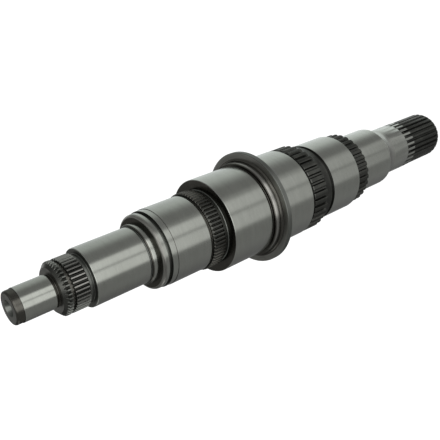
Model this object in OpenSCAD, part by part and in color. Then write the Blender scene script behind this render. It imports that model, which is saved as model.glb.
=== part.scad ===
// Main shaft of a transmission, turned and splined from one steel bar.
// It stands on its output end: the axis is Z, the nose is up, and z = 0 is the output end's face.
// Lengths run along the axis from the nose down. Every stretch has its own diameter and length.

/* [Nose] */
// Diameter of the unground band at the nose
nose_band_d = 27.7; // [26:0.1:28]
// Length of the unground band, with its bevel
nose_band_l = 6.4; // [4:0.1:12]
// Bevel at the nose
nose_bevel = 1.6; // [0.5:0.1:3]
// Diameter of the pilot journal
pilot_d = 28.5; // [26:0.1:34]
// Length of the pilot journal
pilot_l = 26.2; // [15:0.1:40]
// Diameter of the neck behind the pilot journal
pilot_neck_d = 27.2; // [24:0.1:30]
// Length of the neck behind the pilot journal
pilot_neck_l = 2.7; // [1.5:0.1:5]

/* [Fine toothed rows] */
// Outer diameter of the flat shoulder in front of the first row
shoulder_d = 37.9; // [35:0.1:40]
// Length of the cone from the shoulder to the tooth tips
shoulder_cone_l = 3.6; // [1:0.1:6]
// Diameter over the fine teeth
fine_tip_d = 45.7; // [44:0.1:50]
// Depth of a gap between two fine teeth
fine_depth = 1.75; // [0.8:0.05:2]
// Number of fine teeth
fine_count = 39; // [30:1:44]
// Width of a fine tooth's crest
fine_crest_w = 1.35; // [0.8:0.05:1.7]
// Length of the first row
fine_row_1_l = 3; // [1.5:0.1:6]
// Width of the snap-ring groove between the two rows
fine_groove_w = 2.8; // [1.5:0.1:4]
// Length of the second row
fine_row_2_l = 13.1; // [8:0.1:20]
// Diameter of the floor in the groove and in the relief behind the rows
fine_floor_d = 41.6; // [38:0.1:43]
// Length of the relief behind the second row
fine_relief_l = 3.9; // [2:0.1:6]
// Turn of the fine teeth about the axis, in degrees
fine_turn = 3; // [-4.5:0.1:4.5]

/* [Second journal and collar] */
// Diameter of the second journal
journal_2_d = 50.8; // [47:0.1:53]
// Length of the second journal
journal_2_l = 50.35; // [30:0.05:70]
// Diameter of the neck behind the second journal
neck_2_d = 49.8; // [46:0.1:52]
// Length of the neck behind the second journal
neck_2_l = 1.6; // [1:0.1:3]
// Diameter of the narrow collar
collar_d = 54.5; // [53:0.1:60]
// Length of the narrow collar
collar_l = 6.2; // [3:0.1:10]

/* [Third journal] */
// Diameter of the land in front of the snap-ring groove
land_d = 67.4; // [62:0.1:69]
// Length of the land in front of the snap-ring groove, with its bevel
land_l = 5.15; // [3:0.05:9]
// Bevel on the land's front edge
land_bevel = 1.5; // [0.5:0.1:2.5]
// Width of the snap-ring groove
ring_groove_w = 3.3; // [2:0.1:5]
// Diameter of the snap-ring groove's floor
ring_groove_d = 64.2; // [58:0.1:66]
// Length of the lead-in behind the snap-ring groove
lead_in_l = 5.6; // [2:0.1:9]
// How far the lead-in lies below the journal, on the radius
lead_in_drop = 0.35; // [0.1:0.05:1]
// Diameter of the third journal
journal_3_d = 69.8; // [69.2:0.1:75]
// Length of the third journal
journal_3_l = 35.95; // [20:0.05:50]
// Diameter of the neck behind the third journal
neck_3_d = 67; // [62:0.1:68.5]
// Length of the neck behind the third journal
neck_3_l = 2.65; // [1.5:0.05:4]

/* [Toothed band before the fourth journal] */
// Diameter over the band's teeth
front_tip_d = 72.8; // [71:0.1:78]
// Depth of a gap in the band
front_depth = 1.3; // [0.8:0.05:2]
// Number of teeth in the band
front_count = 61; // [48:1:64]
// Width of a tooth's crest in the band
front_crest_w = 1.5; // [0.8:0.05:1.9]
// Length of the band
front_band_l = 12.9; // [8:0.1:20]
// Diameter of the relief behind the band
front_relief_d = 68.6; // [66:0.1:69.5]
// Length of the relief behind the band
front_relief_l = 4.5; // [2.5:0.1:8]
// Turn of the band's teeth about the axis, in degrees
front_turn = 1.2; // [-3:0.1:3]

/* [Fourth journal and flange] */
// Diameter of the fourth journal
journal_4_d = 88; // [80:0.1:91]
// Length of the fourth journal
journal_4_l = 45.2; // [30:0.1:60]
// Diameter of the neck behind the fourth journal
neck_4_d = 86.2; // [78:0.1:88]
// Length of the neck behind the fourth journal
neck_4_l = 2.1; // [1.2:0.1:4]
// Diameter of the raised ring in front of the flange
ridge_d = 93.6; // [91.5:0.1:98]
// Length of the raised ring in front of the flange
ridge_l = 5.2; // [3:0.1:9]
// Radius of the fillet from the raised ring to the flange
flange_fillet = 2.2; // [0.8:0.1:4]
// Diameter of the flange
flange_d = 109.2; // [104:0.1:125]
// Thickness of the flange
flange_t = 4.95; // [3:0.05:10]
// Diameter of the fifth journal
journal_5_d = 87.6; // [84.4:0.1:91]
// Length of the fifth journal
journal_5_l = 42.55; // [25:0.05:60]
// Diameter of the neck behind the fifth journal
neck_5_d = 83.4; // [78:0.1:86]
// Length of the neck behind the fifth journal
neck_5_l = 2.6; // [1.5:0.1:4]

/* [Coarse toothed band] */
// Diameter over the band's teeth
coarse_tip_d = 87.2; // [85:0.1:88]
// Depth of a gap in the band
coarse_depth = 2.2; // [1:0.05:2.5]
// Number of teeth in the band
coarse_count = 36; // [28:1:38]
// Width of a tooth's crest in the band
coarse_crest_w = 3.5; // [3:0.1:4.8]
// Length of the band
coarse_band_l = 18; // [10:0.1:28]
// Length of the bevel that ends the band
coarse_bevel_l = 1.4; // [0.8:0.1:3]
// Length of the slope behind the band
slope_l = 9.9; // [5:0.1:16]
// Diameter at the slope's foot
slope_foot_d = 78.6; // [78.5:0.1:80]
// Turn of the band's teeth about the axis, in degrees
coarse_turn = 0.5; // [-5:0.1:5]

/* [Sixth journal] */
// Diameter of the neck in front of the sixth journal
neck_6_d = 77.2; // [74:0.1:78]
// Length of the neck in front of the sixth journal
neck_6_l = 3.05; // [1.5:0.05:5]
// Diameter of the sixth journal
journal_6_d = 79.2; // [78.2:0.1:83]
// Length of the sixth journal
journal_6_l = 40.45; // [25:0.05:60]

/* [Rear toothed band] */
// Diameter of the groove between the sixth journal and the band
rear_groove_d = 71.4; // [70:0.1:71.6]
// Length of the groove between the sixth journal and the band
rear_groove_l = 1.2; // [0.8:0.1:3]
// Diameter over the band's teeth
rear_tip_d = 75.1; // [74.5:0.1:78]
// Depth of a gap in the band
rear_depth = 1.7; // [0.8:0.05:1.9]
// Number of teeth in the band
rear_count = 32; // [26:1:36]
// Width of a tooth's crest in the band
rear_crest_w = 3; // [2.2:0.1:4]
// Length of the band
rear_band_l = 17.1; // [9:0.1:26]
// Turn of the band's teeth about the axis, in degrees
rear_turn = -2.8; // [-5:0.1:5]

/* [Seventh and eighth journals] */
// Diameter of the seventh journal
journal_7_d = 63.5; // [58:0.1:69]
// Length of the seventh journal
journal_7_l = 45; // [25:0.1:60]
// Angle of the taper between the seventh and eighth journals, in degrees
taper_angle = 27; // [18:1:40]
// Radius that rounds the taper's upper edge
taper_round_r = 8; // [2:0.5:12]
// Radius that hollows the taper's foot
taper_hollow_r = 27; // [8:1:34]
// Diameter of the eighth journal
journal_8_d = 51.6; // [50.5:0.1:54]
// Length of the eighth journal, which the spline's gaps run into
journal_8_l = 36.9; // [20:0.1:60]

/* [Output spline] */
// Diameter over the spline's teeth
spline_tip_d = 50.8; // [49:0.1:51]
// Depth of a gap in the spline
spline_depth = 2.1; // [1:0.05:2.4]
// Number of teeth in the spline
spline_count = 27; // [22:1:28]
// Width of a tooth's crest in the spline
spline_crest_w = 2.7; // [1.8:0.1:3.2]
// Length of the stretch at the spline's own diameter
spline_l = 51.5; // [30:0.1:80]
// Radius of the cutter that the gaps run out on
cutter_r = 36; // [20:1:60]
// Length of the bevel at the output end
end_bevel_l = 3.6; // [1.5:0.1:6]
// Height of the bevel at the output end, on the radius
end_bevel_h = 1.7; // [0.5:0.1:2]
// Turn of the spline's teeth about the axis, in degrees
spline_turn = -2; // [-6.5:0.1:6.5]

/* [Edges and centres] */
// Small bevel on the ground journals' edges
edge_bevel = 0.5; // [0.1:0.1:0.8]
// Fillet in the necks' corners
neck_fillet = 0.4; // [0.1:0.1:0.7]
// Bevel on the ends of the toothed rows
tooth_bevel = 0.8; // [0.3:0.1:1.2]
// Lean of the teeth's flanks, in degrees
flank_lean = 20; // [5:1:25]
// Mouth of the centre hole in each end
centre_mouth_d = 14; // [8:0.5:18]
// Diameter of the drilled pilot in each centre hole
centre_drill_d = 5; // [2:0.5:7]
// Depth of each centre hole
centre_depth = 16; // [15:0.5:30]

/* [Hidden] */
$fn = 96;
steel = [0.62, 0.63, 0.61];
// Angle of the lathe centre's cone, from side to side
centre_angle = 60;
// How far a cutting shape reaches past the surface that it cuts
over = 1;
// A gap between two teeth is never narrower than this
least_gap_w = 0.1;
// Straight pieces in each small fillet, and in each large one
small_steps = 3;
large_steps = 8;

// The taper's radii shrink when the two journals come too close for them
taper_drop = (journal_7_d - journal_8_d) / 2;
taper_share = min(1, 0.9 * taper_drop / ((taper_round_r + taper_hollow_r) * (1 - cos(taper_angle))));
round_r = taper_round_r * taper_share;
hollow_r = taper_hollow_r * taper_share;
taper_straight = (taper_drop - (round_r + hollow_r) * (1 - cos(taper_angle))) / tan(taper_angle);
taper_l = (round_r + hollow_r) * sin(taper_angle) + taper_straight;

// Distances from the nose's face to the start of each stretch
x_pilot = nose_band_l;
x_pilot_neck = x_pilot + pilot_l;
x_shoulder = x_pilot_neck + pilot_neck_l;
x_fine_1 = x_shoulder + shoulder_cone_l;
x_fine_groove = x_fine_1 + fine_row_1_l;
x_fine_2 = x_fine_groove + fine_groove_w;
x_fine_relief = x_fine_2 + fine_row_2_l;
x_journal_2 = x_fine_relief + fine_relief_l;
x_neck_2 = x_journal_2 + journal_2_l;
x_collar = x_neck_2 + neck_2_l;
x_land = x_collar + collar_l;
x_ring_groove = x_land + land_l;
x_lead_in = x_ring_groove + ring_groove_w;
x_journal_3 = x_lead_in + lead_in_l;
x_neck_3 = x_journal_3 + journal_3_l;
x_front = x_neck_3 + neck_3_l;
x_front_relief = x_front + front_band_l;
x_journal_4 = x_front_relief + front_relief_l;
x_neck_4 = x_journal_4 + journal_4_l;
x_ridge = x_neck_4 + neck_4_l;
x_fillet = x_ridge + ridge_l;
x_flange = x_fillet + flange_fillet;
x_journal_5 = x_flange + flange_t;
x_neck_5 = x_journal_5 + journal_5_l;
x_coarse = x_neck_5 + neck_5_l;
x_slope = x_coarse + coarse_band_l + coarse_bevel_l;
x_neck_6 = x_slope + slope_l;
x_journal_6 = x_neck_6 + neck_6_l;
x_rear_groove = x_journal_6 + journal_6_l;
x_rear = x_rear_groove + rear_groove_l;
x_journal_7 = x_rear + rear_band_l;
x_taper = x_journal_7 + journal_7_l;
x_journal_8 = x_taper + taper_l;
x_spline = x_journal_8 + journal_8_l;
total_l = x_spline + spline_l;

// Every outline point is written as [distance from the nose, radius]

// A cylinder with a bevel at each end
function stretch(x0, x1, d, b0, b1) = [
    [x0, d / 2 - b0],
    [x0 + b0, d / 2],
    [x1 - b1, d / 2],
    [x1, d / 2 - b1]
];

// A neck whose floor rises into its two walls on small fillets
function neck(x0, x1, d, f = neck_fillet) = concat(
    [for (i = [0:small_steps]) let (a = 90 * i / small_steps)
        [x0 + f * (1 - cos(a)), d / 2 + f * (1 - sin(a))]],
    [for (i = [0:small_steps]) let (a = 90 * i / small_steps)
        [x1 - f * (1 - sin(a)), d / 2 + f * (1 - cos(a))]]
);

// The hollow corner from the raised ring to the flange's face
function flange_corner() = [
    for (i = [0:large_steps]) let (a = 90 * i / large_steps)
        [x_fillet + flange_fillet * sin(a), ridge_d / 2 + flange_fillet * (1 - cos(a))]
];

// The slope behind the coarse band: it leaves the band's bevel and flattens towards its foot
slope_top_r = coarse_tip_d / 2 - coarse_depth - 0.2;
function slope() = [
    for (i = [0:large_steps]) let (t = i / large_steps)
        [x_slope + slope_l * t, slope_foot_d / 2 + (slope_top_r - slope_foot_d / 2) * pow(1 - t, 1.6)]
];

// The taper: a rounded upper edge, a straight cone and a hollow foot
function taper() = concat(
    [for (i = [0:large_steps]) let (a = taper_angle * i / large_steps)
        [x_taper + round_r * sin(a), journal_7_d / 2 - round_r * (1 - cos(a))]],
    [for (i = [large_steps:-1:0]) let (a = taper_angle * i / large_steps)
        [x_journal_8 - hollow_r * sin(a), journal_8_d / 2 + hollow_r * (1 - cos(a))]]
);

front_half = concat(
    [[0, 0], [0, nose_band_d / 2 - nose_bevel], [nose_bevel, nose_band_d / 2], [x_pilot, nose_band_d / 2]],
    [[x_pilot, pilot_d / 2], [x_pilot_neck, pilot_d / 2]],
    neck(x_pilot_neck, x_shoulder, pilot_neck_d),
    [[x_shoulder, shoulder_d / 2], [x_fine_1, fine_tip_d / 2], [x_fine_groove, fine_tip_d / 2]],
    [[x_fine_groove, fine_floor_d / 2], [x_fine_2, fine_floor_d / 2]],
    stretch(x_fine_2, x_fine_relief, fine_tip_d, 0, tooth_bevel),
    neck(x_fine_relief, x_journal_2, fine_floor_d),
    stretch(x_journal_2, x_neck_2, journal_2_d, edge_bevel, 0),
    neck(x_neck_2, x_collar, neck_2_d),
    stretch(x_collar, x_land, collar_d, edge_bevel, 0),
    stretch(x_land, x_ring_groove, land_d, land_bevel, 0),
    [[x_ring_groove, ring_groove_d / 2], [x_lead_in, ring_groove_d / 2]],
    [[x_lead_in, journal_3_d / 2 - lead_in_drop], [x_journal_3, journal_3_d / 2 - lead_in_drop]],
    stretch(x_journal_3, x_neck_3, journal_3_d, 0, edge_bevel),
    neck(x_neck_3, x_front, neck_3_d),
    stretch(x_front, x_front_relief, front_tip_d, front_depth, tooth_bevel),
    neck(x_front_relief, x_journal_4, front_relief_d, 2 * neck_fillet),
    stretch(x_journal_4, x_neck_4, journal_4_d, edge_bevel, edge_bevel),
    neck(x_neck_4, x_ridge, neck_4_d)
);

rear_half = concat(
    [[x_ridge, ridge_d / 2 - edge_bevel], [x_ridge + edge_bevel, ridge_d / 2]],
    flange_corner(),
    stretch(x_flange, x_journal_5, flange_d, edge_bevel, edge_bevel),
    stretch(x_journal_5, x_neck_5, journal_5_d, 0, edge_bevel),
    neck(x_neck_5, x_coarse, neck_5_d),
    stretch(x_coarse, x_coarse + coarse_band_l, coarse_tip_d, tooth_bevel, 0),
    slope(),
    neck(x_neck_6, x_journal_6, neck_6_d),
    stretch(x_journal_6, x_rear_groove, journal_6_d, edge_bevel, edge_bevel),
    [[x_rear_groove, rear_groove_d / 2], [x_rear, rear_groove_d / 2]],
    stretch(x_rear, x_journal_7, rear_tip_d, 0, tooth_bevel),
    [[x_journal_7, journal_7_d / 2]],
    taper(),
    stretch(x_journal_8, x_spline, journal_8_d, 0, 0),
    [[x_spline, spline_tip_d / 2], [total_l - end_bevel_l, spline_tip_d / 2]],
    [[total_l, spline_tip_d / 2 - end_bevel_h], [total_l, 0]]
);

// The outline from the nose to the output end, without points that repeat where a bevel is zero
outline = concat(front_half, rear_half);
outline_points = [
    for (i = [0:len(outline) - 1])
        if (i == 0 || norm(outline[i] - outline[max(0, i - 1)]) > 0.001) outline[i]
];

// The whole shaft before its teeth are cut
module turned_blank() {
    rotate_extrude()
        polygon([for (p = outline_points) [p[1], total_l - p[0]]]);
}

// The gaps between the teeth, as bars that run along the axis from x0 to x1
module gap_bars(count, tip_d, depth, crest_w, turn, x0, x1) {
    pitch = 360 / count;
    tip_r = tip_d / 2;
    mouth_w = 2 * tip_r * sin(pitch / 2) - crest_w;
    // The flanks close in towards the axis
    outer_w = mouth_w + 2 * over * tan(flank_lean);
    inner_w = max(least_gap_w, mouth_w - 2 * (depth + over) * tan(flank_lean));
    translate([0, 0, total_l - x1])
        linear_extrude(x1 - x0)
            for (i = [0:count - 1])
                rotate(pitch * (i + 0.5) - 90 - turn)
                    polygon([
                        [tip_r - depth - over, -inner_w / 2],
                        [tip_r + over, -outer_w / 2],
                        [tip_r + over, outer_w / 2],
                        [tip_r - depth - over, inner_w / 2]
                    ]);
}

// The space outside the gaps' floors, between x0 and x1
module outside(floor_d, tip_d, x0, x1) {
    translate([0, 0, total_l - x1])
        difference() {
            cylinder(h = x1 - x0, d = tip_d + 4 * over);
            translate([0, 0, -over])
                cylinder(h = x1 - x0 + 2 * over, d = floor_d);
        }
}

// Gaps of one depth that are open at both ends of their band
module straight_gaps(count, tip_d, depth, crest_w, turn, x0, x1) {
    intersection() {
        gap_bars(count, tip_d, depth, crest_w, turn, x0, x1);
        outside(tip_d - 2 * depth, tip_d, x0, x1);
    }
}

// Gaps of the output spline: open at the end, and running out upwards on the cutter's arc
module output_gaps() {
    floor_r = spline_tip_d / 2 - spline_depth;
    run_h = journal_8_d / 2 + over - floor_r;
    run_l = sqrt(cutter_r * cutter_r - pow(cutter_r - run_h, 2));
    outer_r = journal_8_d / 2 + over;
    foot_z = total_l - x_spline;
    run_out = [
        for (i = [0:large_steps]) let (t = i / large_steps)
            [floor_r + cutter_r - sqrt(cutter_r * cutter_r - pow(run_l * t, 2)), foot_z + run_l * t]
    ];
    intersection() {
        gap_bars(spline_count, spline_tip_d, spline_depth, spline_crest_w, spline_turn,
            x_spline - run_l - over, total_l + over);
        rotate_extrude()
            polygon(concat(
                [[floor_r, -over]],
                run_out,
                [[outer_r + over, foot_z + run_l], [outer_r + over, -over]]
            ));
    }
}

// A lathe centre's hole, with its mouth at z = 0 and its axis pointing down
module centre_hole() {
    cone_l = (centre_mouth_d - centre_drill_d) / 2 / tan(centre_angle / 2);
    mouth_r = centre_mouth_d / 2;
    drill_r = centre_drill_d / 2;
    rotate_extrude()
        polygon([
            [0, over],
            [mouth_r + over * tan(centre_angle / 2), over],
            [drill_r, -cone_l],
            [drill_r, -centre_depth],
            [0, -centre_depth]
        ]);
}

module main_shaft() {
    color(steel)
        difference() {
            turned_blank();
            straight_gaps(fine_count, fine_tip_d, fine_depth, fine_crest_w, fine_turn,
                x_shoulder, x_fine_relief + fine_relief_l / 2);
            straight_gaps(front_count, front_tip_d, front_depth, front_crest_w, front_turn,
                x_front - neck_3_l / 2, x_front_relief + front_relief_l / 2);
            straight_gaps(coarse_count, coarse_tip_d, coarse_depth, coarse_crest_w, coarse_turn,
                x_coarse - neck_5_l / 2, x_slope + slope_l / 2);
            straight_gaps(rear_count, rear_tip_d, rear_depth, rear_crest_w, rear_turn,
                x_rear - rear_groove_l / 2, x_journal_7 + over);
            output_gaps();
            translate([0, 0, total_l])
                centre_hole();
            rotate([180, 0, 0])
                centre_hole();
        }
}

main_shaft();
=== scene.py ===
"""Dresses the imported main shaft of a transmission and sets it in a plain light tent.

Sizes are in millimetres. x runs along the axis from the nose's face, as in the part's source, and
meshes are in metres with z = 0 at the output end's face, so that the nose is up.
"""

import logging
import math
from dataclasses import dataclass, field
from enum import Enum
from typing import Callable, Optional, Union

import bpy
from mathutils import Matrix, Vector


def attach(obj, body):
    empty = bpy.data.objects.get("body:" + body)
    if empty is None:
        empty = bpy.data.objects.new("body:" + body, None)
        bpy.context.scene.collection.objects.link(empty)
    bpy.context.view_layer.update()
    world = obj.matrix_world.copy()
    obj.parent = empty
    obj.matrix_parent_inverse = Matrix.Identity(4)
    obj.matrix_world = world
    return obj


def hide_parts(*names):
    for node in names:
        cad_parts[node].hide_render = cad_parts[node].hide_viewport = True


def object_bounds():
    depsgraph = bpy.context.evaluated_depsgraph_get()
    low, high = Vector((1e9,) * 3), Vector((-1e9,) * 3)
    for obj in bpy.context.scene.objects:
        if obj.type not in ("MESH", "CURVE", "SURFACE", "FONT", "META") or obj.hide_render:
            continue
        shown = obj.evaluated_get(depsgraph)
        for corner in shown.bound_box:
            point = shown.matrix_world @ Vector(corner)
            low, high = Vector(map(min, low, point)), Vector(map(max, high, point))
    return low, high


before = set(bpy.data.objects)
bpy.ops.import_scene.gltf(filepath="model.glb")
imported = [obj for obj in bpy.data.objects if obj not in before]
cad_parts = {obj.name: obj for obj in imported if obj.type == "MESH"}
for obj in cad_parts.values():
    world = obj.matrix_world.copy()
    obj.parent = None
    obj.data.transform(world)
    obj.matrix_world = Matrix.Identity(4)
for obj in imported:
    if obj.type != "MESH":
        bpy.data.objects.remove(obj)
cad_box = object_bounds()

log = logging.getLogger("main_shaft")

MM = 0.001
NODE = "main_shaft"
BODY = "root"
TOTAL = cad_box[1].z / MM
ZONE = "finish"  # face attribute that holds the value of a finish
WELD = 2e-6  # metres within which the points of a turned piece are joined
KEYS_PER_M = 1e7  # fineness at which two points of a sector are one
NEAR = 1e-4  # millimetres that don't count in an outline
TINY = 1e-4  # keeps divisions clear of zero
SEAT = 0.3  # how far a piece reaches into the next one
GUARD = 0.1  # distance of a guard ring, which keeps an edge's shading off the side or wall
EDGE = 0.5  # rounding at a journal's ends
BEVEL = 0.8  # bevel at a toothed band's ends
FILLET = 0.4  # fillet in a neck
SHARP = 30.0  # degrees between two faces from which their edge is sharp

Colour = tuple[float, float, float]
Place = tuple[float, float, float]
Radius = Callable[[float], float]
Values = Optional[dict]
Key = Union[int, str]


class Finish(Enum):
    """The finishes of the shaft's faces; a face stores the value of its own."""

    GROUND = 0
    TURNED = 1
    SMOOTH = 2
    TOOTH = 3
    CREST = 4
    FACED = 5
    TAPER = 6
    # painted shade: near-black steel laid in necks, gap floors and on one edge
    PAINTED_SHADE = 7


GROUND, TURNED, SMOOTH, TOOTH, CREST, FACED, TAPER, PAINTED_SHADE = Finish


class Wire:
    """A value on its way through a node tree, whose operators add Math nodes."""

    def __init__(self, kit: "NodeKit", socket: bpy.types.NodeSocket) -> None:
        """Keeps the tree's kit and the socket that the value comes out of."""
        self.kit = kit
        self.socket = socket

    def __add__(self, other: "Number") -> "Wire":
        """Adds."""
        return self.kit.math("ADD", self, other)

    __radd__ = __add__

    def __sub__(self, other: "Number") -> "Wire":
        """Subtracts."""
        return self.kit.math("SUBTRACT", self, other)

    def __rsub__(self, other: "Number") -> "Wire":
        """Subtracts this from a number."""
        return self.kit.math("SUBTRACT", other, self)

    def __mul__(self, other: "Number") -> "Wire":
        """Multiplies."""
        return self.kit.math("MULTIPLY", self, other)

    __rmul__ = __mul__

    def __truediv__(self, other: "Number") -> "Wire":
        """Divides."""
        return self.kit.math("DIVIDE", self, other)

    def __neg__(self) -> "Wire":
        """Turns the sign."""
        return self.kit.math("MULTIPLY", self, -1.0)

    def root(self) -> "Wire":
        """Takes the square root."""
        return self.kit.math("SQRT", self)

    def at_least(self, low: float) -> "Wire":
        """Keeps the value from falling below low."""
        return self.kit.math("MAXIMUM", self, low)

    def at_most(self, high: float) -> "Wire":
        """Keeps the value from rising above high."""
        return self.kit.math("MINIMUM", self, high)


Number = Union[Wire, float]


class NodeKit:
    """Adds nodes to one tree, each from its type, its settings and what goes into its sockets."""

    def __init__(self, tree: bpy.types.NodeTree) -> None:
        """Keeps the tree."""
        self.tree = tree

    @classmethod
    def emptied(cls, owner: Union[bpy.types.Material, bpy.types.World]) -> "NodeKit":
        """Clears the tree of a material or a world, and returns a kit for it."""
        owner.use_nodes = True
        owner.node_tree.nodes.clear()
        return cls(owner.node_tree)

    def add(self, kind: str, sockets: Values = None, settings: Values = None) -> bpy.types.Node:
        """Adds one node.

        Args:
            kind: the node's type.
            sockets: numbers, colours or Wires by a socket's name or place.
            settings: its properties, which are set first.

        Returns:
            The node.
        """
        node = self.tree.nodes.new(kind)
        for name, value in (settings or {}).items():
            setattr(node, name, value)
        for key, value in (sockets or {}).items():
            socket = self.pick(node.inputs, key)
            if isinstance(value, Wire):
                self.tree.links.new(value.socket, socket)
            else:
                socket.default_value = value
        return node

    def wire(self, kind: str, sockets: Values = None, settings: Values = None, output: Key = 0) -> Wire:
        """Adds one node and returns one of its outputs, by name or place, as a Wire."""
        return Wire(self, self.pick(self.add(kind, sockets, settings).outputs, output))

    @staticmethod
    def pick(sockets: bpy.types.bpy_prop_collection, key: Key) -> bpy.types.NodeSocket:
        """Finds one of the sockets in use, by name or place."""
        used = [socket for socket in sockets if socket.enabled]
        return used[key] if isinstance(key, int) else next(s for s in used if s.name == key)

    def math(self, operation: str, *values: Number) -> Wire:
        """Adds a Math node for an expression on numbers."""
        return self.wire("ShaderNodeMath", dict(enumerate(values)), {"operation": operation})

    def parts(self, vector: Wire) -> list[Wire]:
        """Splits a vector into its three parts."""
        split = self.add("ShaderNodeSeparateXYZ", {"Vector": vector})
        return [Wire(self, split.outputs[i]) for i in range(3)]

    def ease(self, value: Number, low: float, high: float) -> Wire:
        """Rises smoothly from 0 where value is low to 1 where it is high."""
        sockets = {"Value": value, "From Min": low, "From Max": high}
        return self.wire("ShaderNodeMapRange", sockets, {"interpolation_type": "SMOOTHSTEP"})

    def blend(self, share: Number, first: Union[Wire, Colour], second: Union[Wire, Colour]) -> Wire:
        """Mixes two colours."""
        colours = {"A": first, "B": second}
        ready = {k: v if isinstance(v, Wire) else (*v, 1.0) for k, v in colours.items()}
        return self.wire("ShaderNodeMix", {"Factor": share, **ready}, {"data_type": "RGBA"})

    def noise(self, place: Wire, detail: float, rough: float, scale: float = 1.0) -> Wire:
        """Adds a Noise Texture and returns its value."""
        sockets = {"Vector": place, "Scale": scale, "Detail": detail, "Roughness": rough}
        return self.wire("ShaderNodeTexNoise", sockets)


@dataclass(frozen=True)
class AxisPlace:
    """Where a point of the surface lies, in metres, and its distance from the shaft's axis."""

    FACE_SHARE = 1.3

    kit: NodeKit
    x: Wire
    y: Wire
    z: Wire
    reach: Wire

    @classmethod
    def read(cls, kit: NodeKit) -> "AxisPlace":
        """Reads Object coordinates, and the distance from the axis."""
        x, y, z = kit.parts(kit.wire("ShaderNodeTexCoord", output="Object"))
        return cls(kit, x, y, z, (x * x + y * y).root().at_least(TINY))

    def round_marks(self, pitch: float, run: float) -> Wire:
        """A place whose noise is drawn out round the axis, on flat faces and round ones alike.

        Args:
            pitch: distance between two marks, in millimetres.
            run: how many marks follow each other round the axis.

        Returns:
            The place as a vector, for a noise at scale 1.
        """
        across = (self.z + self.reach * self.FACE_SHARE) * (1.0 / (pitch * MM))
        sockets = {0: across, 1: self.x / self.reach * run, 2: self.y / self.reach * run}
        return self.kit.wire("ShaderNodeCombineXYZ", sockets)

    def plain(self) -> Wire:
        """The place itself, in millimetres."""
        sockets = {0: self.x * 1000.0, 1: self.y * 1000.0, 2: self.z * 1000.0}
        return self.kit.wire("ShaderNodeCombineXYZ", sockets)


@dataclass(frozen=True)
class Steel:
    """Bare steel with a varied colour, roughness and bump.

    Attributes:
        name: the material's name.
        colour: the colour of the metal or of its dark skin.
        second: the colour of faint stains, or of spots where the skin is thin.
        roughness: its mean roughness.
        bump: strength of its bump.
        grazing: share of the mirror light that stays at a grazing angle.
    """

    BUMP_M = 0.00004

    name: str
    colour: Colour
    second: Colour
    roughness: float
    bump: float
    grazing: float = 1.0

    def looks(self, kit: NodeKit, place: AxisPlace) -> tuple[Wire, Wire, Wire]:
        """Adds the nodes that work out its colour, roughness and bump height."""
        raise NotImplementedError

    def material(self) -> bpy.types.Material:
        """Builds the material."""
        made = bpy.data.materials.new(self.name)
        kit = NodeKit.emptied(made)
        colour, roughness, height = self.looks(kit, AxisPlace.read(kit))
        bump = {"Height": height, "Strength": self.bump, "Distance": self.BUMP_M}
        sockets = {"Base Color": colour, "Roughness": roughness, "Metallic": 1.0}
        sockets["Specular Tint"] = (self.grazing, self.grazing, self.grazing, 1.0)
        sockets["Normal"] = kit.wire("ShaderNodeBump", bump)
        shader = kit.wire("ShaderNodeBsdfPrincipled", sockets)
        kit.add("ShaderNodeOutputMaterial", {"Surface": shader})
        return made


@dataclass(frozen=True)
class RoundMarkedSteel(Steel):
    """Steel whose grinding or turning marks run round the axis.

    Attributes:
        pitch: distance between two fine marks, in millimetres.
        contrast: how far the colour swings about its mean, as a share.
    """

    pitch: float = 0.5
    contrast: float = 0.06

    def looks(self, kit: NodeKit, place: AxisPlace) -> tuple[Wire, Wire, Wire]:
        """Lays fine marks over broad ones, with a few faint stains."""
        fine = kit.noise(place.round_marks(self.pitch, run=3.0), detail=3.0, rough=0.65)
        wide = place.round_marks(self.pitch * 9.0, run=1.6)
        broad = kit.noise(wide, detail=2.0, rough=0.5)
        cloud = kit.noise(place.plain(), scale=0.06, detail=3.0, rough=0.55)
        dark = tuple(c * (1.0 - self.contrast) for c in self.colour)
        light = tuple(min(1.0, c * (1.0 + self.contrast)) for c in self.colour)
        lined = kit.blend(kit.ease(fine * 0.6 + broad * 0.4, low=0.3, high=0.7), dark, light)
        colour = kit.blend(kit.ease(cloud, low=0.5, high=0.8) * 0.35, lined, self.second)
        roughness = self.roughness + (fine - 0.5) * 0.06 + (cloud - 0.5) * 0.06
        return colour, roughness.at_least(0.08), fine


@dataclass(frozen=True)
class DarkSteel(Steel):
    """Hardened steel, left dark after heat treatment, with a fine grain and worn spots; its near-black copy
    is painted shade.

    Attributes:
        grain: size of the grain, in millimetres.
    """

    BUMP_M = 0.00005

    grazing: float = 0.55
    grain: float = 0.5

    def looks(self, kit: NodeKit, place: AxisPlace) -> tuple[Wire, Wire, Wire]:
        """Lays a grain and round marks over cloudy wear."""
        grain = kit.noise(place.plain(), scale=1.0 / self.grain, detail=4.0, rough=0.6)
        cloud = kit.noise(place.plain(), scale=0.11, detail=3.0, rough=0.6)
        marks = kit.noise(place.round_marks(pitch=0.9, run=2.0), detail=2.0, rough=0.5)
        share = kit.ease(cloud * 0.6 + grain * 0.4, low=0.42, high=0.72) * 0.6 + (marks - 0.5) * 0.3
        colour = kit.blend(share.at_least(0.0).at_most(1.0), self.colour, self.second)
        roughness = self.roughness + (grain - 0.5) * 0.16 - (marks - 0.5) * 0.08
        return colour, roughness.at_least(0.1), grain + marks


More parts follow.
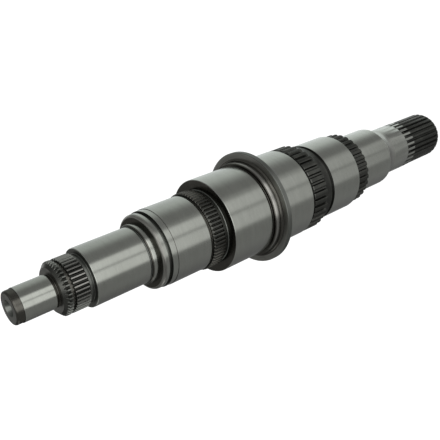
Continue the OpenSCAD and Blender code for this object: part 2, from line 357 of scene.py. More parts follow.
FINISHES: dict[Finish, Steel] = {
    GROUND: RoundMarkedSteel(
        "ground_journal_steel", (0.238, 0.246, 0.224), (0.206, 0.214, 0.19), roughness=0.18, bump=0.14
    ),
    TURNED: RoundMarkedSteel(
        "turned_flange_steel", (0.112, 0.117, 0.107), (0.083, 0.084, 0.076),
        roughness=0.34, bump=0.3, grazing=0.6, pitch=0.7, contrast=0.12,
    ),
    FACED: RoundMarkedSteel(
        "faced_shoulder_steel", (0.178, 0.178, 0.163), (0.13, 0.127, 0.115),
        roughness=0.32, bump=0.3, grazing=0.7, pitch=0.7, contrast=0.25,
    ),
    TAPER: RoundMarkedSteel(
        "softly_ground_taper_steel", (0.225, 0.23, 0.21), (0.195, 0.2, 0.178),
        roughness=0.3, bump=0.15, pitch=0.6,
    ),
    SMOOTH: DarkSteel(
        "smooth_dark_steel", (0.058, 0.0565, 0.0495), (0.094, 0.091, 0.08), roughness=0.25, bump=0.12
    ),
    TOOTH: DarkSteel(
        "dark_tooth_steel", (0.046, 0.0472, 0.043), (0.087, 0.088, 0.078),
        roughness=0.28, bump=0.2, grain=0.4,
    ),
    # Painted shade: the dark steel made near black, which stands in for the shade in the necks, in the fine
    # teeth's gap floors and on the sixth journal's front edge.
    PAINTED_SHADE: DarkSteel(
        "painted_shade_black_steel", (0.016, 0.0162, 0.0145), (0.034, 0.0345, 0.031),
        roughness=0.34, bump=0.15, grazing=0.4,
    ),
    CREST: RoundMarkedSteel(
        "worn_crest_steel", (0.18, 0.178, 0.165), (0.132, 0.124, 0.112),
        roughness=0.22, bump=0.2, grazing=0.6, contrast=0.12,
    ),
}


def turns(parts: int, angle: float = 90.0) -> list[float]:
    """Equal steps from 0 to an angle in degrees, as radians."""
    return [math.radians(angle * i / parts) for i in range(parts + 1)]


def new_object(name: str, data: bpy.types.ID) -> bpy.types.Object:
    """Makes an object from a mesh, a lamp or a camera, and links it to the scene."""
    made = bpy.data.objects.new(name, data)
    bpy.context.scene.collection.objects.link(made)
    return made


@dataclass(frozen=True)
class Spot:
    """A corner of a turned outline.

    Attributes:
        x: distance from the nose's face.
        r: distance from the axis.
        finish: the finish from here to the next corner.
    """

    x: float
    r: float
    finish: Finish


class Outline:
    """A turned outline, collected from the nose's side towards the output end.

    Attributes:
        x: distance of the last corner from the nose's face.
        end: distance of the farthest corner, apart from the seat in the next piece.
        spots: the corners.
    """

    def __init__(self, start: float) -> None:
        """Starts at a distance from the nose's face."""
        self.x = self.end = start
        self.spots: list[Spot] = []

    def spot(self, x: float, r: float, finish: Finish) -> "Outline":
        """Adds a corner, or gives the last one a new finish where it lies in the same place."""
        if self.spots and math.dist((x, r), (self.spots[-1].x, self.spots[-1].r)) < NEAR:
            self.spots.pop()
        self.spots.append(Spot(x, r, finish))
        self.x = x
        self.end = max(self.end, x)
        return self

    def curve(self, length: float, radius: Radius, finish: Finish, parts: int) -> "Outline":
        """Goes on for a length in equal parts, at a radius that follows the share of the way."""
        start = self.x
        for i in range(1, parts + 1):
            self.spot(start + length * (i / parts), radius(i / parts), finish)
        return self

    def slant(self, x: float, r: float, finish: Finish, parts: int) -> "Outline":
        """Goes straight from the last corner to a new one in equal parts."""
        last = self.spots[-1]
        return self.curve(x - last.x, lambda t: last.r + (r - last.r) * t, finish, parts)

    def open_inside(self, inner_r: float, finish: Finish = SMOOTH, seat: float = 0.0) -> "Outline":
        """Starts on the axis, with a hidden face seat before the start that reaches out to inner_r."""
        start = self.x
        self.spot(start - seat, 0.0, finish).spot(start - seat, inner_r, finish)
        self.x = start
        return self

    def close_inside(self) -> "Outline":
        """Ends on the axis, a little inside the next piece."""
        end, x, r = self.end, self.x + SEAT, self.spots[-1].r
        self.spot(x, r, SMOOTH).spot(x, 0.0, SMOOTH)
        self.end = end
        return self

    def stretch(self, length: float, diameter: float, finish: Finish, front: float = 0.0,
                rear: float = 0.0, wall: Finish = SMOOTH, steps: int = 3,
                rounded: bool = True, edge: Optional[Finish] = None) -> "Outline":
        """Adds a cylinder with a rounding or a bevel at each end.

        Args:
            length: its length with both edges.
            diameter: its diameter.
            finish: the finish of its side and edges.
            front: size of the edge on the nose's side.
            rear: size of the edge on the output side.
            wall: the finish of the wall that follows it.
            steps: parts of each edge.
            rounded: whether the edges are rounded and not bevelled.
            edge: the finish of the front edge, if it isn't the side's.

        Returns:
            The outline.
        """
        x0, x1, r = self.x, self.x + length, diameter / 2
        self.spot(x0, r - front, edge or finish)
        shares = [self._edge_share(i / steps, rounded) for i in range(steps + 1)]
        for along, rise in shares if front else []:
            self.spot(x0 + front * along, r - front * (1 - rise), edge if edge and rise < 1 else finish)
        self.spot(self.x + GUARD, r, finish).spot(x1 - rear - GUARD, r, finish)
        for along, rise in reversed(shares) if rear else []:
            self.spot(x1 - rear * along, r - rear * (1 - rise), finish)
        return self.spot(x1, r - rear, wall)

    def crown(self, length: float, diameter: float, front: float, rise: float, finish: Finish,
              wall: Finish = SMOOTH) -> "Outline":
        """Adds a short ring with a bevelled front, whose side rises gently towards the output end.

        Args:
            length: its length with the bevel.
            diameter: its diameter at the output end.
            front: length of the bevel, which is half as high.
            rise: how much the radius grows from the bevel to the output end.
            finish: the finish of its side.
            wall: the finish of the wall that follows it.

        Returns:
            The outline.
        """
        x0, r = self.x, diameter / 2
        self.spot(x0, r - rise - front / 2, SMOOTH).spot(x0 + front, r - rise, finish)
        self.curve(length - front, lambda t: r - rise * (1 - t) ** 2, finish, parts=6)
        return self.spot(x0 + length, r, wall)

    @staticmethod
    def _edge_share(t: float, rounded: bool) -> tuple[float, float]:
        """How far along and up an edge its profile has come, as shares of its size."""
        turn = math.radians(90 * t)
        return (1 - math.cos(turn), math.sin(turn)) if rounded else (t, t)

    def neck(self, length: float, diameter: float, finish: Finish = SMOOTH,
             fillet: float = FILLET) -> "Outline":
        """Adds a neck whose floor rises into its two walls on small fillets."""
        x0, x1, r = self.x, self.x + length, diameter / 2
        for a in turns(4):
            self.spot(x0 + fillet * (1 - math.cos(a)), r + fillet * (1 - math.sin(a)), finish)
        self.spot(x0 + fillet + GUARD, r, finish).spot(x1 - fillet - GUARD, r, finish)
        for a in turns(4):
            self.spot(x1 - fillet * (1 - math.sin(a)), r + fillet * (1 - math.cos(a)), finish)
        return self


@dataclass(frozen=True)
class Teeth:
    """Straight teeth round the axis, cut as gaps between leaning flanks.

    Attributes:
        count: number of teeth.
        tip_d: diameter over the teeth.
        depth: depth of a gap.
        crest_w: width of a tooth's crest.
        turn: turn of the teeth about the axis, in degrees.
        flank_lean: lean of the flanks, in degrees.
        edge: radius that rounds the edge between crest and flank.
        crest_parts: columns across half a crest.
        floor_parts: columns across half a gap's floor.
        flank: the finish of the flanks.
        bed: the finish of the gaps' floor.
    """

    EDGE_SHARES = (0.0, 0.2, 0.55, 1.0)
    FLANK_ROUNDS = 12
    LEAST_ANGLE = 1e-9

    count: int
    tip_d: float
    depth: float
    crest_w: float
    turn: float
    flank_lean: float = 30.0
    edge: float = 0.14
    crest_parts: int = 2
    floor_parts: int = 1
    flank: Finish = TOOTH
    bed: Finish = TOOTH

    @property
    def pitch(self) -> float:
        """The angle from one tooth to the next."""
        return 2 * math.pi / self.count

    @property
    def floor_r(self) -> float:
        """The radius of a gap's floor."""
        return self.tip_d / 2 - self.depth

    @property
    def half_mouth(self) -> float:
        """Half the width of a gap at the tips."""
        return (self.tip_d * math.sin(self.pitch / 2) - self.crest_w) / 2

    def angle_at(self, r: float) -> float:
        """The angle from the gap's middle to its flank, at a radius."""
        angle = 0.0
        lean = math.tan(math.radians(self.flank_lean))
        for _ in range(self.FLANK_ROUNDS):
            angle = math.asin((self.half_mouth + (r * math.cos(angle) - self.tip_d / 2) * lean) / r)
        return angle

    def flank_r(self, angle: float) -> float:
        """The radius at which a gap's flank stands, at an angle from the gap's middle."""
        lean = math.tan(math.radians(self.flank_lean))
        lack = math.cos(angle) * lean - math.sin(abs(angle))
        return math.inf if lack <= 0 else (self.tip_d / 2 * lean - self.half_mouth) / lack

    def cut(self, angle: float, outline_r: float, floor_r: float) -> float:
        """The radius of the surface once the gaps are cut.

        Args:
            angle: the angle from the gap's middle.
            outline_r: the radius of the uncut outline.
            floor_r: the radius of the gap's floor there.

        Returns:
            The radius of floor, flank, rounded edge or crest.
        """
        top = max(outline_r, self.tip_d / 2)
        past = abs(angle) - self.angle_at(top - self.edge)
        if past <= self.LEAST_ANGLE:
            return min(outline_r, max(floor_r, self.flank_r(angle)))
        lack = 1 - min(1.0, past * top / self.edge)
        return min(outline_r, max(floor_r, top - self.edge * (1 - math.sqrt(1 - lack**2))))

    def columns(self) -> list[float]:
        """Angles of the columns from the middle of one crest across a gap to the next."""
        tip_r = self.tip_d / 2
        foot = self.angle_at(self.floor_r)
        brink = self.angle_at(tip_r - self.edge)
        round_over = self.edge / tip_r
        half = [foot * i / self.floor_parts for i in range(self.floor_parts + 1)]
        half += [self.angle_at((self.floor_r + tip_r - self.edge) / 2)]
        half += [brink + round_over * share for share in self.EDGE_SHARES]
        rest = self.pitch / 2 - half[-1]
        half += [half[-1] + rest * i / self.crest_parts for i in range(1, self.crest_parts + 1)]
        return [-a for a in reversed(half[1:])] + half

    def gap_finish(self, angle: float) -> Finish:
        """The finish of a gap's floor or flank, at an angle from the gap's middle."""
        return self.flank if abs(angle) > self.angle_at(self.floor_r) else self.bed

    def start(self) -> float:
        """The angle of the first gap's middle, counted from the X axis."""
        return self.pitch / 2 - math.radians(90 + self.turn)


class Sector:
    """One sector of a turned solid, as a mesh that Geometry Nodes repeat round the axis."""

    def __init__(self, outline: Outline, angles: list[float], teeth: Optional[Teeth],
                 floor: Radius) -> None:
        """Works out the sector's points and faces.

        Args:
            outline: the turned outline, from pole to pole.
            angles: the angles of its columns.
            teeth: the teeth that are cut into it, if any.
            floor: the radius of the gaps' floor at a distance from the nose.
        """
        self.points: list[Vector] = []
        self.faces: list[list[int]] = []
        self.finishes: list[int] = []
        self._known: dict[tuple[int, int, int], int] = {}
        rows, spots = [], outline.spots
        for spot in spots:
            radii = [teeth.cut(a, spot.r, floor(spot.x)) if teeth else spot.r for a in angles]
            rows.append([(self._point(spot.x, r, a), spot.r - r > NEAR) for r, a in zip(radii, angles)])
        for j in range(len(angles) - 1):
            gap = teeth.gap_finish((angles[j] + angles[j + 1]) / 2) if teeth else TOOTH
            for i in range(len(spots) - 1):
                ring = [rows[i][j], rows[i + 1][j], rows[i + 1][j + 1], rows[i][j + 1]]
                self._face(ring, spots[i].finish, gap)

    def _point(self, x: float, r: float, angle: float) -> int:
        """The number of a point, which is added if it is new."""
        place = Vector((r * math.cos(angle), r * math.sin(angle), TOTAL - x)) * MM
        key = tuple(round(c * KEYS_PER_M) for c in place)
        if key not in self._known:
            self._known[key] = len(self.points)
            self.points.append(place)
        return self._known[key]

    def _face(self, ring: list[tuple[int, bool]], finish: Finish, gap: Finish) -> None:
        """Adds a face, unless its corners fall together. In a gap it has the gap's finish."""
        corners = list(dict.fromkeys(corner for corner, _ in ring))
        if len(corners) < 3:
            return
        lowered = sum(low for _, low in ring)
        on_brink = lowered == 2 and ring[0][1] != ring[3][1]
        zone = gap if lowered and not on_brink else finish
        self.faces.append(corners)
        self.finishes.append(zone.value)

    def mesh_object(self, name: str) -> bpy.types.Object:
        """Makes the object that carries the sector, before it is repeated."""
        mesh = bpy.data.meshes.new(name)
        mesh.from_pydata(self.points, [], self.faces)
        mesh.attributes.new(ZONE, "INT", "FACE").data.foreach_set("value", self.finishes)
        return new_object(name, mesh)


class SectorTurner:
    """The Geometry Nodes tree that repeats a sector round the axis, welds it and dresses its faces."""

    INPUTS = {"Sectors": "NodeSocketInt", "Start": "NodeSocketFloat", "Weld": "NodeSocketFloat"}

    def __init__(self, materials: dict[Finish, bpy.types.Material]) -> None:
        """Builds the tree for the finishes' materials."""
        self.tree = bpy.data.node_groups.new("turn_sector_round_axis", "GeometryNodeTree")
        face = self.tree.interface
        face.new_socket("Geometry", in_out="INPUT", socket_type="NodeSocketGeometry")
        made = {n: face.new_socket(n, in_out="INPUT", socket_type=kind) for n, kind in self.INPUTS.items()}
        self.identifiers = {name: socket.identifier for name, socket in made.items()}
        face.new_socket("Geometry", in_out="OUTPUT", socket_type="NodeSocketGeometry")
        kit = NodeKit(self.tree)
        given = kit.add("NodeGroupInput")
        sector, sectors, start, weld = (Wire(kit, given.outputs[i]) for i in range(4))
        angle = kit.wire("GeometryNodeInputIndex") * (2 * math.pi) / sectors + start
        turned = kit.wire("FunctionNodeAxisAngleToRotation", {"Axis": (0.0, 0.0, 1.0), "Angle": angle})
        spots = kit.wire("GeometryNodePoints", {"Count": sectors})
        laid = {"Points": spots, "Instance": sector, "Rotation": turned}
        copies = kit.wire("GeometryNodeInstanceOnPoints", laid)
        whole = kit.wire("GeometryNodeRealizeInstances", {"Geometry": copies})
        whole = kit.wire("GeometryNodeMergeByDistance", {"Geometry": whole, "Distance": weld})
        for finish, material in materials.items():
            zone = kit.wire("GeometryNodeInputNamedAttribute", {"Name": ZONE}, {"data_type": "INT"})
            equal = {"data_type": "INT", "operation": "EQUAL"}
            chosen = kit.wire("FunctionNodeCompare", {0: zone, 1: finish.value}, equal)
            dressed = {"Geometry": whole, "Selection": chosen, "Material": material}
            whole = kit.wire("GeometryNodeSetMaterial", dressed)
        kit.add("NodeGroupOutput", {"Geometry": whole})

    def turn(self, made: bpy.types.Object, sectors: int, start: float) -> None:
        """Repeats an object's sector round the axis and leaves the whole as its plain mesh.

        Args:
            made: the object that carries the sector.
            sectors: how many sectors go round.
            start: the angle of the first one.
        """
        modifier = made.modifiers.new("turn", "NODES")
        modifier.node_group = self.tree
        for name, value in zip(self.INPUTS, (sectors, start, WELD)):
            modifier[self.identifiers[name]] = value
        graph = bpy.context.evaluated_depsgraph_get()
        mesh = bpy.data.meshes.new_from_object(
            made.evaluated_get(graph), preserve_all_data_layers=True, depsgraph=graph
        )
        made.modifiers.clear()
        sector, made.data = made.data, mesh
        bpy.data.meshes.remove(sector)
        mesh.name = made.name
        mesh.shade_smooth()
        mesh.set_sharp_from_angle(angle=math.radians(SHARP))


@dataclass
class Section:
    """A part of the shaft that becomes one piece of the scene.

    Attributes:
        start: distance from the nose's face to its start.
        around: number of plain columns round the axis.
        inner_r: radius from which its front wall shows.
        end: distance from the nose's face to its end, known once it is built.
    """

    start: float
    around: int = 240
    inner_r: float = 0.0
    end: float = field(default=0.0, init=False)

    name = "section"
    teeth: Optional[Teeth] = None

    def outline(self) -> Outline:
        """The section's outline, from pole to pole."""
        raise NotImplementedError

    def floor(self, x: float) -> float:
        """The radius of the gaps' floor at a distance from the nose."""
        return self.teeth.floor_r

    def build(self, turner: SectorTurner) -> bpy.types.Object:
        """Makes the section's mesh.

        Args:
            turner: the tree that repeats a sector.

        Returns:
            The finished object, at the origin.
        """
        teeth = self.teeth
        half = math.pi / self.around
        angles = teeth.columns() if teeth else [-half, half]
        line = self.outline()
        self.end = line.end
        made = Sector(line, angles, teeth, self.floor).mesh_object(self.name)
        turner.turn(made, teeth.count if teeth else self.around, teeth.start() if teeth else half)
        return made

    def dress(self, piece: bpy.types.Object) -> None:
        """Lets the piece ride on the shaft's body in place of its node, and reports it."""
        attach(piece, BODY)
        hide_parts(NODE)
        log.info("%s: %d faces, %d finishes", piece.name, len(piece.data.polygons), len(piece.data.materials))


@dataclass(frozen=True)
class CentreHole:
    """A lathe centre's hole: a cone that narrows to a drilled bore."""

    mouth_r: float = 7.0
    drill_r: float = 2.5
    depth: float = 16.0
    half_angle: float = 30.0

    def corners(self) -> list[tuple[float, float]]:
        """Its corners from the mouth to the axis, as depth and radius."""
        cone_l = (self.mouth_r - self.drill_r) / math.tan(math.radians(self.half_angle))
        return [(0.0, self.mouth_r), (cone_l, self.drill_r), (self.depth, self.drill_r), (self.depth, 0.0)]


@dataclass
class NoseAndPilot(Section):
    """The nose with its lathe centre, the pilot journal and the neck behind it."""

    around: int = 180
    band_d: float = 27.7
    band_l: float = 6.4
    bevel: float = 1.6
    pilot_d: float = 28.5
    pilot_l: float = 26.2
    neck_d: float = 27.2
    neck_l: float = 2.7
    centre: CentreHole = CentreHole()

    name = "nose_and_pilot"

    def outline(self) -> Outline:
        """From the bottom of the centre hole, over the nose, to the shoulder."""
        line = Outline(self.start)
        finishes = (TOOTH, TOOTH, TURNED, FACED)
        for (depth, r), finish in zip(reversed(self.centre.corners()), finishes):
            line.spot(self.start + depth, r, finish)
        line.spot(self.start, self.band_d / 2 - self.bevel, SMOOTH)
        line.stretch(self.band_l, self.band_d, SMOOTH, front=self.bevel, steps=5)
        line.stretch(self.pilot_l, self.pilot_d, GROUND)
        return line.neck(self.neck_l, self.neck_d).close_inside()


@dataclass
class FineTeeth(Section):
    """The two rows of fine teeth, with a snap-ring groove between them and a relief behind."""

    inner_r: float = 14.0
    shoulder_d: float = 37.9
    cone_l: float = 3.6
    row_1_l: float = 3.0
    groove_w: float = 2.8
    row_2_l: float = 13.1
    floor_d: float = 41.6
    relief_l: float = 3.9
    # The gaps' floors are painted near black, as painted shade between the teeth.
    teeth: Teeth = Teeth(
        39, 45.7, depth=1.75, crest_w=1.1, turn=3.0, flank_lean=27.0, flank=TURNED, bed=PAINTED_SHADE
    )

    name = "fine_teeth"

    def outline(self) -> Outline:
        """From the shoulder to the second journal's wall."""
        tip_d = self.teeth.tip_d
        line = Outline(self.start).open_inside(self.inner_r, FACED)
        line.spot(self.start, self.shoulder_d / 2, TOOTH)
        line.slant(self.start + self.cone_l, tip_d / 2, TOOTH, parts=9)
        line.stretch(self.row_1_l, tip_d, TURNED, wall=TOOTH)
        line.stretch(self.groove_w, self.floor_d, SMOOTH, wall=TOOTH)
        line.stretch(self.row_2_l, tip_d, CREST, rear=BEVEL, wall=TOOTH, rounded=False)
        return line.neck(self.relief_l, self.floor_d, TURNED).close_inside()


@dataclass
class JournalsAndCollar(Section):
    """The second journal, the collar, the land with its snap-ring groove, and the third journal."""

    inner_r: float = 20.0
    journal_2_d: float = 50.8
    journal_2_l: float = 50.35
    neck_2_d: float = 49.8
    neck_2_l: float = 1.6
    collar_d: float = 54.5
    collar_l: float = 6.2
    collar_bevel: float = 1.0
    collar_rise: float = 0.35
    land_d: float = 67.4
    land_l: float = 5.15
    land_bevel: float = 2.4
    groove_w: float = 3.3
    groove_d: float = 64.2
    lead_in_l: float = 5.6
    lead_in_drop: float = 0.35
    journal_3_d: float = 69.8
    journal_3_l: float = 35.95
    neck_3_d: float = 67.0
    neck_3_l: float = 2.65

    name = "journals_and_collar"

    def outline(self) -> Outline:
        """From the second journal's wall to the front toothed band."""
        line = Outline(self.start).open_inside(self.inner_r, TURNED)
        line.stretch(self.journal_2_l, self.journal_2_d, GROUND, front=EDGE)
        line.neck(self.neck_2_l, self.neck_2_d, TURNED)
        line.crown(self.collar_l, self.collar_d, self.collar_bevel, self.collar_rise, GROUND)
        line.stretch(
            self.land_l, self.land_d, GROUND, front=self.land_bevel, wall=TURNED,
            steps=5, edge=FACED,
        )
        line.stretch(self.groove_w, self.groove_d, TURNED, wall=TURNED)
        line.stretch(self.lead_in_l, self.journal_3_d - 2 * self.lead_in_drop, GROUND)
        line.stretch(self.journal_3_l, self.journal_3_d, GROUND, rear=EDGE)
        return line.neck(self.neck_3_l, self.neck_3_d).close_inside()


@dataclass
class FrontTeeth(Section):
    """The toothed band in front of the fourth journal, with the relief behind it."""

    inner_r: float = 33.5
    band_l: float = 12.9
    relief_d: float = 68.6
    relief_l: float = 4.5
    relief_fillet: float = 0.8
    teeth: Teeth = Teeth(
        61, 72.8, depth=1.3, crest_w=1.5, turn=1.2, flank_lean=38.0, edge=0.25,
        crest_parts=1, flank=SMOOTH,
    )

    name = "front_teeth"

    def outline(self) -> Outline:
        """From the band's front wall to the fourth journal's wall."""
        line = Outline(self.start).open_inside(self.inner_r)
        line.stretch(
            self.band_l, self.teeth.tip_d, TOOTH, front=self.teeth.depth, rear=BEVEL,
            wall=TOOTH, rounded=False,
        )
        return line.neck(self.relief_l, self.relief_d, TURNED, self.relief_fillet).close_inside()


@dataclass
class FlangeAndJournals(Section):
    """The fourth journal, the raised ring, the flange and the fifth journal."""

    around: int = 288
    inner_r: float = 34.0
    journal_4_d: float = 88.0
    journal_4_l: float = 45.2
    neck_4_d: float = 86.2
    neck_4_l: float = 2.1
    ridge_d: float = 93.6
    ridge_l: float = 5.2
    ridge_bevel: float = 0.9
    ridge_rise: float = 0.75
    fillet: float = 2.2
    flange_d: float = 109.2
    flange_t: float = 4.95
    journal_5_d: float = 87.6
    journal_5_l: float = 42.55
    neck_5_d: float = 83.4
    neck_5_l: float = 2.6

    name = "flange_and_journals"

    def outline(self) -> Outline:
        """From the fourth journal's wall to the coarse band."""
        line = Outline(self.start).open_inside(self.inner_r)
        line.stretch(self.journal_4_l, self.journal_4_d, GROUND, front=EDGE, rear=EDGE)
        line.neck(self.neck_4_l, self.neck_4_d)
        line.crown(self.ridge_l, self.ridge_d, self.ridge_bevel, self.ridge_rise, CREST)
        x, r = line.x, self.ridge_d / 2
        for a in turns(8)[1:]:
            line.spot(x + self.fillet * math.sin(a), r + self.fillet * (1 - math.cos(a)), SMOOTH)
        line.spot(line.x, r + self.fillet, FACED)
        line.spot(line.x, r + self.fillet + GUARD, FACED)
        line.stretch(self.flange_t, self.flange_d, TURNED, front=EDGE, rear=EDGE, wall=FACED)
        line.stretch(self.journal_5_l, self.journal_5_d, GROUND, rear=EDGE)
        # This neck is painted near black, as painted shade in the recess.
        return line.neck(self.neck_5_l, self.neck_5_d, PAINTED_SHADE).close_inside()


@dataclass
class CoarseTeeth(Section):
    """The coarse toothed band, the slope behind it and the neck at the slope's foot."""

    inner_r: float = 41.0
    band_l: float = 18.0
    bevel_l: float = 1.4
    slope_l: float = 9.9
    slope_drop: float = 0.2
    slope_bend: float = 1.6
    foot_d: float = 78.6
    neck_d: float = 77.2
    neck_l: float = 3.05
    teeth: Teeth = Teeth(36, 87.2, depth=2.2, crest_w=3.5, turn=0.5, edge=0.7, floor_parts=2)

    name = "coarse_teeth"

    def outline(self) -> Outline:
        """From the band's front wall to the sixth journal's wall."""
        tip_d, foot_r = self.teeth.tip_d, self.foot_d / 2
        top_r = tip_d / 2 - self.teeth.depth - self.slope_drop
        drop = top_r - foot_r
        line = Outline(self.start).open_inside(self.inner_r)
        line.stretch(self.band_l, tip_d, TOOTH, front=BEVEL, wall=TOOTH, rounded=False)
        line.slant(line.x + self.bevel_l, top_r, TOOTH, parts=5)
        line.curve(self.slope_l, lambda t: foot_r + drop * (1 - t) ** self.slope_bend, TOOTH, parts=8)
        # This neck is painted near black, as painted shade in the recess.
        return line.neck(self.neck_l, self.neck_d, PAINTED_SHADE).close_inside()


@dataclass
class SixthJournal(Section):
    """The sixth journal and the narrow groove behind it."""

    around: int = 264
    inner_r: float = 38.0
    journal_d: float = 79.2
    journal_l: float = 40.45
    groove_d: float = 71.4
    groove_l: float = 1.2

    name = "sixth_journal"

    def outline(self) -> Outline:
        """From the journal's wall to the rear band."""
        line = Outline(self.start).open_inside(self.inner_r)
        # The journal's front edge is painted near black, as painted shade that hides its highlight.
        line.stretch(self.journal_l, self.journal_d, GROUND, front=EDGE, rear=EDGE, wall=TOOTH, edge=PAINTED_SHADE)
        return line.stretch(self.groove_l, self.groove_d, TOOTH, wall=TOOTH).close_inside()


@dataclass
class RearTeeth(Section):
    """The rear toothed band, whose ends stand free above the seventh journal."""

    inner_r: float = 34.0
    end_inner_r: float = 31.0
    band_l: float = 17.1
    teeth: Teeth = Teeth(32, 75.1, depth=1.7, crest_w=3.0, turn=-2.8, edge=0.6, floor_parts=2)

    name = "rear_teeth"

    def outline(self) -> Outline:
        """From the groove to the free end."""
        tip_d = self.teeth.tip_d
        line = Outline(self.start).open_inside(self.inner_r)
        line.stretch(self.band_l, tip_d, TOOTH, rear=BEVEL, wall=TOOTH, rounded=False)
        return line.spot(line.x, self.end_inner_r, TOOTH).spot(line.x, 0.0, TOOTH)


@dataclass
class OutputEnd(Section):
    """The seventh journal, the taper, the eighth journal and the output spline."""

    MOST_ROUND = 0.9

    journal_7_d: float = 63.5
    journal_7_l: float = 45.0
    taper_angle: float = 27.0
    round_r: float = 8.0
    hollow_r: float = 27.0
    journal_8_d: float = 51.6
    journal_8_l: float = 36.9
    spline_l: float = 51.5
    cutter_r: float = 36.0
    end_bevel_l: float = 3.6
    end_bevel_h: float = 1.7
    end_rim: float = 0.4
    centre: CentreHole = CentreHole()
    teeth: Teeth = Teeth(
        27, 50.8, depth=2.1, crest_w=2.7, turn=-2.0, edge=0.3, crest_parts=3, floor_parts=2
    )

    name = "output_end"

    @property
    def radii(self) -> tuple[float, float]:
        """The taper's two radii, drawn in where the journals are too close for them."""
        drop = (self.journal_7_d - self.journal_8_d) / 2
        wanted = (self.round_r + self.hollow_r) * (1 - math.cos(math.radians(self.taper_angle)))
        share = min(1.0, self.MOST_ROUND * drop / wanted)
        return self.round_r * share, self.hollow_r * share

    @property
    def taper_l(self) -> float:
        """The length of the taper between the journals."""
        upper, lower = self.radii
        a = math.radians(self.taper_angle)
        drop = (self.journal_7_d - self.journal_8_d) / 2
        return (upper + lower) * math.sin(a) + (drop - (upper + lower) * (1 - math.cos(a))) / math.tan(a)

    @property
    def spline_x(self) -> float:
        """Where the stretch at the spline's own diameter starts."""
        return self.start + self.journal_7_l + self.taper_l + self.journal_8_l

    def floor(self, x: float) -> float:
        """The radius of the gaps' floor, which runs out on the cutter's arc towards the nose."""
        run = max(0.0, self.spline_x - x)
        if run >= self.cutter_r:
            return math.inf
        return self.teeth.floor_r + self.cutter_r - math.sqrt(self.cutter_r**2 - run**2)

    def outline(self) -> Outline:
        """From the seventh journal's start to the bottom of the centre hole in the output end."""
        upper, lower = self.radii
        high, low, tip_r = self.journal_7_d / 2, self.journal_8_d / 2, self.teeth.tip_d / 2
        bends = turns(8, self.taper_angle)
        line = Outline(self.start).open_inside(high, GROUND, seat=SEAT)
        line.spot(self.start + self.journal_7_l, high, GROUND)
        x = line.x
        for a in bends[1:]:
            finish = GROUND if a < bends[2] else TAPER
            line.spot(x + upper * math.sin(a), high - upper * (1 - math.cos(a)), finish)
        x += self.taper_l
        for a in reversed(bends):
            finish = GROUND if a < bends[1] else TAPER
            line.spot(x - lower * math.sin(a), low + lower * (1 - math.cos(a)), finish)
        run_l = math.sqrt(self.cutter_r**2 - (self.cutter_r - (low - self.teeth.floor_r)) ** 2)
        line.spot(self.spline_x - run_l, low, GROUND)
        line.slant(self.spline_x, low, GROUND, parts=12)
        line.spot(self.spline_x, tip_r, TOOTH)
        end = self.spline_x + self.spline_l
        line.spot(end - self.end_bevel_l, tip_r, TOOTH)
        line.slant(end, tip_r - self.end_bevel_h, TOOTH, parts=4)
        line.spot(end, tip_r - self.teeth.depth - self.end_rim, SMOOTH)
        for depth, r in self.centre.corners():
            line.spot(end - depth, r, TOOTH if depth else SMOOTH)
        return line


@dataclass(frozen=True)
class Panel:
    """A soft pale panel of the light tent, upright beside the shaft.

    Attributes:
        azimuth: its middle as seen from the shaft, in degrees from the camera's side towards +X.
        half_width: half its width, in degrees, to the middle of its soft edges.
        edge: half the width of a soft edge, in degrees.
        top: its level at the height of the horizon.
        fall: how much the level falls from there to straight below.
        least: the level that it doesn't fall under.
        above: the share of its level that stays well above the horizon.
        tint: its colour.
    """

    azimuth: float
    half_width: float
    edge: float
    top: float
    fall: float
    least: float
    above: float = 0.1
    tint: Colour = (1.0, 1.0, 1.0)


@dataclass(frozen=True)
class LightTent:
    """The light tent: its panels, the plain glow between them, and a white look for the camera."""

    glow: float = 0.46
    dim_above: float = 0.08
    overhead: float = 0.45
    panels: tuple[Panel, ...] = (
        Panel(-21.0, 18.5, 5.5, top=2.45, fall=2.75, least=0.2, above=0.9),
        Panel(17.5, 15.0, 5.5, top=2.45, fall=2.6, least=0.32, above=0.9),
        Panel(38.0, 6.5, 5.5, top=-0.5, fall=-1.2, least=0.0),
        Panel(130.0, 42.0, 22.0, top=0.35, fall=-0.68, least=0.0, tint=(0.92, 1.0, 0.97)),
        Panel(-165.0, 50.0, 35.0, top=-0.26, fall=0.0, least=-0.26),
        Panel(155.0, 12.0, 5.0, top=1.9, fall=6.0, least=0.0),
        Panel(-120.0, 11.0, 5.0, top=1.9, fall=6.5, least=0.0),
    )

    def build(self) -> None:
        """Makes the world."""
        world = bpy.data.worlds.new("light_tent")
        kit = NodeKit.emptied(world)
        x, y, z = kit.parts(kit.wire("ShaderNodeTexCoord", output="Generated"))
        level = (x * x + y * y).root().at_least(TINY)
        east, north = x / level, y / level
        glow = self.glow - kit.ease(z, low=0.0, high=0.2) * self.dim_above
        glow = glow + kit.ease(z, low=0.85, high=0.97) * self.overhead
        sky = kit.wire("ShaderNodeCombineColor", {0: glow, 1: glow, 2: glow})
        for panel in self.panels:
            a = math.radians(panel.azimuth)
            nearness = east * math.sin(a) - north * math.cos(a)
            away = kit.math("ARCCOSINE", nearness.at_least(-1.0).at_most(1.0)) * (180 / math.pi)
            shown = kit.ease(away, panel.half_width + panel.edge, panel.half_width - panel.edge)
            below = (-z).at_least(0.0)
            strength = (panel.top - below * panel.fall).at_least(panel.least) * shown
            strength = strength * (1.0 - kit.ease(z, low=0.0, high=0.3) * (1.0 - panel.above))
            tint = [strength * c for c in panel.tint]
            light = kit.wire("ShaderNodeCombineColor", dict(enumerate(tint)))
            sky = kit.wire("ShaderNodeVectorMath", {0: sky, 1: light}, {"operation": "ADD"})
        seen = kit.wire("ShaderNodeLightPath", output="Is Camera Ray")
        colour = kit.blend(seen, sky, (1.0, 1.0, 1.0))
        shader = kit.wire("ShaderNodeBackground", {"Color": colour, "Strength": 1.0})
        kit.add("ShaderNodeOutputWorld", {"Surface": shader})
        bpy.context.scene.world = world


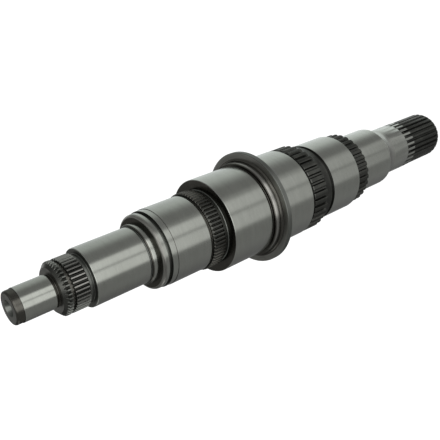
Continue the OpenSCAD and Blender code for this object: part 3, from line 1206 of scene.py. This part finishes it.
@dataclass(frozen=True)
class Studio:
    """The pale floor, one soft lamp above, and the camera at the photograph's angle."""

    floor_half: float = 8.0
    floor_diffuse: float = 0.2
    floor_glow: float = 0.95
    lamp_place: Place = (0.9, -0.5, 1.7)
    lamp_target: Place = (0.0, 0.0, 0.27)
    lamp_size: float = 1.6
    lamp_power: float = 1.5
    camera_place: Place = (0.0, -0.49208, 0.6845)
    camera_right: Place = (-0.38992, -0.53901, -0.74661)
    camera_back: Place = (0.00098, -0.81103, 0.585)
    lens: float = 53.41
    sensor_w: float = 36.0

    def floor(self) -> None:
        """Makes the floor, which shows white to the camera apart from the shaft's soft shadow."""
        h = self.floor_half
        mesh = bpy.data.meshes.new("floor")
        mesh.from_pydata([(-h, -h, 0), (h, -h, 0), (h, h, 0), (-h, h, 0)], [], [(0, 1, 2, 3)])
        made = new_object("floor", mesh)
        material = bpy.data.materials.new("pale_floor")
        kit = NodeKit.emptied(material)
        grey = (self.floor_diffuse, self.floor_diffuse, self.floor_diffuse, 1.0)
        matt = kit.wire("ShaderNodeBsdfDiffuse", {"Color": grey})
        glow = kit.wire("ShaderNodeEmission", {"Strength": self.floor_glow})
        both = kit.wire("ShaderNodeAddShader", {0: matt, 1: glow})
        kit.add("ShaderNodeOutputMaterial", {"Surface": both})
        mesh.materials.append(material)
        made.visible_glossy = False
        made.visible_diffuse = False
        made.visible_transmission = False
        made.visible_shadow = False

    def lamp(self) -> None:
        """Hangs one large soft lamp above the shaft."""
        data = bpy.data.lights.new("overhead_lamp", "AREA")
        data.shape = "DISK"
        data.size = self.lamp_size
        data.energy = self.lamp_power
        made = new_object("overhead_lamp", data)
        place = Vector(self.lamp_place)
        turn = (place - Vector(self.lamp_target)).to_track_quat("Z", "Y").to_matrix().to_4x4()
        made.matrix_world = Matrix.Translation(place) @ turn

    def camera(self) -> None:
        """Sets the camera where the photograph was taken from."""
        data = bpy.data.cameras.new("camera")
        data.lens = self.lens
        data.sensor_width = self.sensor_w
        data.clip_start, data.clip_end = 0.01, 50.0
        made = new_object("camera", data)
        right, back = Vector(self.camera_right).normalized(), Vector(self.camera_back).normalized()
        up = back.cross(right).normalized()
        turn = Matrix((right, up, back)).transposed().to_4x4()
        made.matrix_world = Matrix.Translation(self.camera_place) @ turn
        bpy.context.scene.camera = made

    def build(self) -> None:
        """Sets up the whole studio."""
        self.camera()
        self.floor()
        self.lamp()
        LightTent().build()
        bpy.context.scene.view_settings.view_transform = "Standard"


def main() -> None:
    """Builds the studio and the shaft's pieces in order, from the nose to the output end."""
    logging.basicConfig(level=logging.INFO, format="%(name)s: %(message)s")
    Studio().build()
    turner = SectorTurner({finish: look.material() for finish, look in FINISHES.items()})
    kinds: list[Callable[[float], Section]] = [
        NoseAndPilot, FineTeeth, JournalsAndCollar, FrontTeeth, FlangeAndJournals,
        CoarseTeeth, SixthJournal, RearTeeth, OutputEnd,
    ]
    start = 0.0
    for kind in kinds:
        section = kind(start)
        section.dress(section.build(turner))
        start = section.end
    log.info("length %.4f, packed %.4f", start, TOTAL)


if __name__ == "__main__":
    main()
